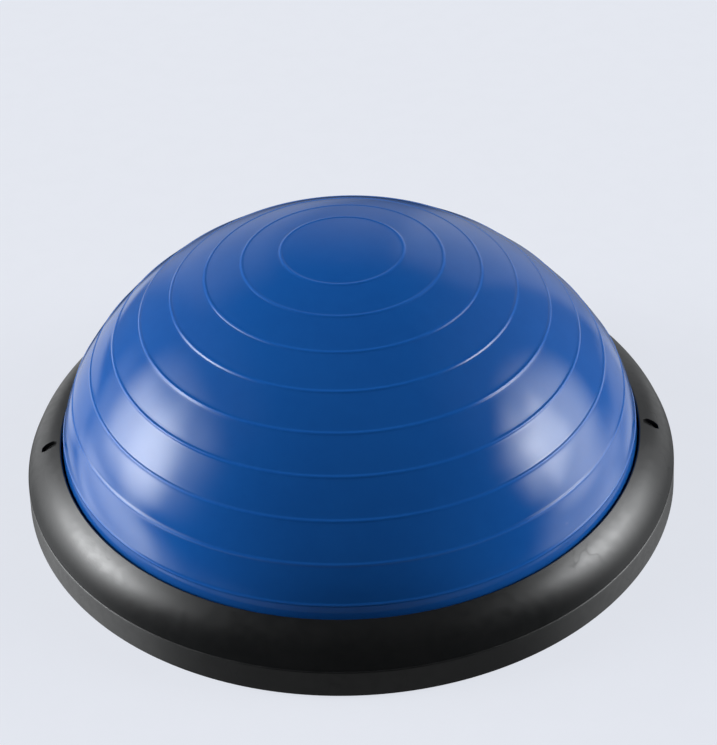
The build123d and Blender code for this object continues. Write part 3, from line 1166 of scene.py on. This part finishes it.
@dataclass
class Valve:
    """Rubber seat in the air chamber's floor and the plug that closes it."""

    seat_low: float
    seat_high: float
    membrane_top: float
    bore: float = 4 * MM
    body_radius: float = 9 * MM
    flange_radius: float = 14 * MM
    plug_radius: float = 3.95 * MM
    head_radius: float = 8 * MM
    head_thick: float = 3 * MM
    nose: float = 1.5 * MM
    tab_half: Point = (6 * MM, 1.5 * MM)
    tab_drop: float = 6 * MM
    segments: int = 64

    def build(self) -> list[bpy.types.Object]:
        """Build the seat and the plug.

        Returns:
            The two pieces.
        """
        edge = 0.5 * MM
        seat_profile = chain(
            (self.bore, self.seat_low + edge),
            arc((self.bore + edge, self.seat_low + edge), edge, 180, 270, 5),
            arc((self.body_radius - edge, self.seat_low + edge), edge, -90, 0, 5),
            (self.body_radius, self.membrane_top),
            (self.flange_radius, self.membrane_top),
            arc((self.flange_radius - edge, self.seat_high - edge), edge, 0, 90, 5),
            (self.bore, self.seat_high),
            (self.bore, self.seat_low + edge),
        )
        skin = Skin()
        skin.add(turned(seat_profile, self.segments))
        seat = skin.build("valve_bush")
        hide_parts("valve_seat")
        dress(seat, SEAT_RUBBER, Slot.VALVE)
        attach(seat, Body.PLATFORM.value)
        return [seat, self.plug()]

    def plug(self) -> bpy.types.Object:
        """Plug with a dished head, a rounded pull tab under it and a tapered nose."""
        head_low = self.seat_low - self.head_thick
        edge = 0.6 * MM
        profile = chain(
            (0.0, head_low + 0.3 * MM),
            (5.5 * MM, head_low + 0.3 * MM),
            (6.2 * MM, head_low),
            arc((self.head_radius - edge, head_low + edge), edge, -90, 0, 6),
            arc((self.head_radius - edge, self.seat_low - edge), edge, 0, 90, 6),
            (self.plug_radius, self.seat_low),
            straight(
                (self.plug_radius, self.seat_low + 0.5 * MM),
                (self.plug_radius, self.seat_high - self.nose),
                6,
            ),
            (self.plug_radius - self.nose, self.seat_high),
            (0.0, self.seat_high),
        )
        skin = Skin()
        skin.add(turned(profile, self.segments))
        skin.add(self.tab(head_low))
        plug = skin.build("valve_stopper")
        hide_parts("valve_plug")
        dress(plug, PLUG_PLASTIC, Slot.PLUG)
        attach(plug, Body.PLUG.value)
        return plug

    def tab(self, head_low: float) -> np.ndarray:
        """Pull tab: rounded rectangles stacked downwards, drawn in to a rounded lower edge."""
        low = head_low - self.tab_drop
        lift = np.concatenate((np.radians(np.linspace(0, 90, 8)), [math.pi / 2]))
        round_off = 1.2 * MM
        heights = low + round_off * (1 - np.cos(lift))
        heights[-1] = head_low + 0.5 * MM
        inset = round_off * (1 - np.sin(lift))
        angles = np.arange(40) * FULL_TURN / 40
        rim = np.column_stack((np.cos(angles), np.sin(angles)))
        rings = [np.zeros((40, 3)) + (0, 0, low)]
        for z, less in zip(heights, inset):
            outline = Outline(0, 0, self.tab_half[0] - less, self.tab_half[1] - less * 0.9, 0.15 * MM)
            rings.append(at_height(outline.around(rim, 0.0), z))
        rings.append(np.zeros((40, 3)) + (0, 0, head_low + 0.5 * MM))
        return np.stack(rings)


@dataclass
class Studio:
    """Pale floor, the light that surrounds the object, and the camera."""

    elevation: float = math.radians(36.83)
    roll: float = math.radians(-2.195)
    place: tuple[float, float, float] = (0.0100, -1.3029, 1.0803)
    focal: float = 86.61
    floor_radius: float = 12.0
    floor_colour: Colour = (0.767, 0.793, 0.858, 1.0)

    def build(self) -> None:
        """Make the floor, the surrounding light and the camera."""
        self.floor()
        self.surround()
        self.camera()
        scene = bpy.context.scene
        scene.view_settings.view_transform = "Standard"
        scene.view_settings.look = "None"

    def camera(self) -> None:
        """Camera that looks down at the dome, slightly rolled."""
        data = bpy.data.cameras.new("camera")
        data.lens = self.focal
        data.clip_end = 100.0
        camera = bpy.data.objects.new("camera", data)
        bpy.context.scene.collection.objects.link(camera)
        tilt = Matrix.Rotation(math.pi / 2 - self.elevation, 4, "X")
        camera.matrix_world = Matrix.Translation(self.place) @ tilt @ Matrix.Rotation(self.roll, 4, "Z")
        bpy.context.scene.camera = camera

    def floor(self) -> None:
        """Large disc, mostly self-lit as a light table is, so that shadows on it stay soft."""
        r = np.concatenate(([0.0], np.geomspace(0.2, self.floor_radius, 12)))
        skin = Skin()
        skin.add(turned(np.column_stack((r, np.zeros(len(r)))), 96)[::-1])
        floor = skin.build("floor")
        material = bpy.data.materials.new("pale_floor")
        graph = Graph(material)
        place = graph.add("TexCoord").outputs["Object"]
        mottle = graph.ramp(graph.noise(place, 30.0, 4.0), 0.3, 0.7, 0.0, 1.0)
        paper = graph.tint(mottle, (0.16, 0.165, 0.18, 1.0), (0.17, 0.175, 0.19, 1.0))
        shader = graph.add("BsdfPrincipled", {"Base Color": paper})
        shader.inputs["Roughness"].default_value = 0.9
        shader.inputs["Specular IOR Level"].default_value = 0.1
        shader.inputs["Emission Color"].default_value = self.floor_colour
        shader.inputs["Emission Strength"].default_value = 0.90
        graph.add("OutputMaterial", {"Surface": shader.outputs[0]})
        floor.data.materials.append(material)
        floor.visible_diffuse = False
        floor.visible_glossy = False

    def surround(self) -> None:
        """World light: two softboxes, a pale backdrop, lit table sides and a dim room."""
        world = bpy.data.worlds.new("studio")
        bpy.context.scene.world = world
        graph = Graph(world)
        direction = graph.add("TexCoord").outputs["Generated"]
        total = AMBIENT
        for lamp in LAMPS:
            total = graph.math("ADD", total, lamp.glow(graph, direction))
        toward_front = graph.add("SeparateXYZ", {"Vector": direction}).outputs["Y"]
        total = graph.math("MULTIPLY", total, graph.ramp(toward_front, *FRONT_FLAG, FRONT_SHARE, 1.0))
        total = graph.math("ADD", total, TABLE_FRONT.glow(graph, direction))
        light = graph.add("Background", {"Color": SOFT_WHITE, "Strength": total})
        plain = graph.add("Background", {"Color": self.floor_colour, "Strength": 1.0})
        seen = graph.add("LightPath").outputs["Is Camera Ray"]
        mixed = graph.add("MixShader", {0: seen, 1: light.outputs[0], 2: plain.outputs[0]})
        graph.add("OutputWorld", {"Surface": mixed.outputs[0]})


@dataclass(frozen=True)
class Lamp:
    """A soft-edged patch of light at a direction: azimuth 0 is the camera's side, 90 is +X."""

    azimuth: float
    elevation: float
    half_width: float
    half_height: float
    strength: float
    softness: float = 0.35
    tilt: float = 0.0
    squareness: float = 2.5

    def axes(self) -> tuple[Vector, Vector, Vector]:
        """Direction of the patch's middle and its two axes, turned by its tilt.

        Returns:
            Middle, long axis and short axis, of unit length.
        """
        a, e, t = (math.radians(angle) for angle in (self.azimuth, self.elevation, self.tilt))
        middle = Vector((math.sin(a) * math.cos(e), -math.cos(a) * math.cos(e), math.sin(e)))
        level = Vector((math.cos(a), math.sin(a), 0.0))
        upright = level.cross(middle)
        return (
            middle,
            level * math.cos(t) + upright * math.sin(t),
            upright * math.cos(t) - level * math.sin(t),
        )

    def glow(self, graph: Graph, direction: bpy.types.NodeSocket) -> bpy.types.NodeSocket:
        """Strength at a direction: full inside a rounded patch and fading smoothly past its edge.

        The direction is split along the patch's middle and its two axes. Each of the last two
        over the first, over the tangent of its half size, is raised to the squareness; the sum,
        with the power undone, is 1 on the patch's edge.

        Args:
            graph: Graph of the world.
            direction: Direction looked in.

        Returns:
            The strength's socket.
        """
        middle, *sides = self.axes()
        ahead = graph.vector_math("DOT_PRODUCT", direction, tuple(middle)).outputs["Value"]
        depth = graph.math("MAXIMUM", ahead, 0.02)
        shares = []
        for axis, half in zip(sides, (self.half_width, self.half_height)):
            along = graph.vector_math("DOT_PRODUCT", direction, tuple(axis)).outputs["Value"]
            reach = graph.math("MULTIPLY", depth, math.tan(math.radians(half)))
            share = graph.math("ABSOLUTE", graph.math("DIVIDE", along, reach))
            shares.append(graph.math("POWER", share, self.squareness))
        distance = graph.math("POWER", graph.math("ADD", *shares), 1 / self.squareness)
        return graph.ramp(distance, 1 - self.softness, 1 + self.softness, self.strength, 0.0)


AMBIENT = 0.004
SOFT_WHITE = (0.97, 0.985, 1.0, 1.0)
FRONT_FLAG = (-0.52, -0.10)
FRONT_SHARE = 0.09
TABLE_FRONT = Lamp(0.0, -42.0, 50.0, 16.0, 0.24, 0.6)

# Shape and strength of the light: these rows were fitted by a separate program, except the last two.
LAMPS = (
    Lamp(-90.7, 23.7, 21.8, 14.5, 2.86, 0.72, -11, 2.5),
    Lamp(-98.1, 16.4, 16.6, 10.3, 4.65, 0.62, -14, 3.7),
    Lamp(-91.2, 16.3, 9.8, 15.9, 3.71, 0.71, -14, 1.6),
    Lamp(94.6, 14.2, 20.3, 19.1, 3.77, 0.54, 53, 2.4),
    Lamp(91.1, 18.7, 8.9, 8.4, 4.18, 0.54, -8, 5.6),
    Lamp(79.4, 24.3, 8.5, 7.7, 3.47, 0.97, -17, 5.7),
    Lamp(-99.3, -16.6, 23.2, 12.2, 1.40, 0.25, -2, 3.2),
    Lamp(-82.6, -12.9, 39.0, 10.4, 2.14, 0.98, 23, 2.9),
    Lamp(-142.2, -17.5, 19.5, 8.1, 0.64, 0.20, -23, 4.8),
    Lamp(92.0, -15.9, 24.2, 13.0, 1.44, 0.43, 5, 7.7),
    Lamp(133.1, -18.9, 20.5, 9.7, 0.48, 0.32, 22, 1.6),
    Lamp(171.2, 13.3, 19.7, 22.5, 0.37, 0.94, 2, 2.6),
    Lamp(-160.2, 8.5, 10.3, 29.3, 0.35, 0.50, 23, 7.2),
    Lamp(157.7, 2.9, 12.1, 34.4, 0.29, 0.26, -6, 7.6),
    Lamp(-112.7, 15.3, 56.7, 31.4, 0.15, 0.40, -38, 4.7),
    Lamp(106.1, 17.4, 47.9, 35.2, 0.21, 0.90, 25, 1.7),
    Lamp(-102.0, -38.0, 34.0, 12.0, 0.9, 0.50, 0, 2.5),
    Lamp(102.0, -38.0, 34.0, 12.0, 0.6, 0.50, 0, 2.5),
)


def carry_over_membrane() -> bpy.types.Object:
    """Keep the CAD membrane, whose shape is right, and give it its sheet finish."""
    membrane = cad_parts["bladder_floor"]
    dress(membrane, SHEET_PVC, Slot.MEMBRANE)
    return membrane


def main() -> None:
    """Build every sub-assembly in order."""
    dome_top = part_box("dome_shell")[1].z
    membrane_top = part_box("bladder_floor")[1].z
    platform_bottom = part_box("platform")[0].z
    seat_low, seat_high = (corner.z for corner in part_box("valve_seat"))
    dome = Dome(top=dome_top, flange_top=membrane_top + 4 * MM)
    collar = Collar(foot=28.5 * MM, spigot_bottom=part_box("clamp_collar")[0].z)
    platform = Platform(ledge=28.5 * MM, bottom=platform_bottom)
    valve = Valve(seat_low=seat_low, seat_high=seat_high, membrane_top=membrane_top)
    pieces = [dome.build(), collar.build(), platform.build(), *Feet().build()]
    pieces += [ClampScrews().build(), *valve.build(), carry_over_membrane()]
    for piece in pieces:
        log.info("%s: %d faces", piece.name, len(piece.data.polygons))
    Studio().build()


if __name__ == "__main__":
    logging.basicConfig(level=logging.INFO, format="%(message)s")
    main()
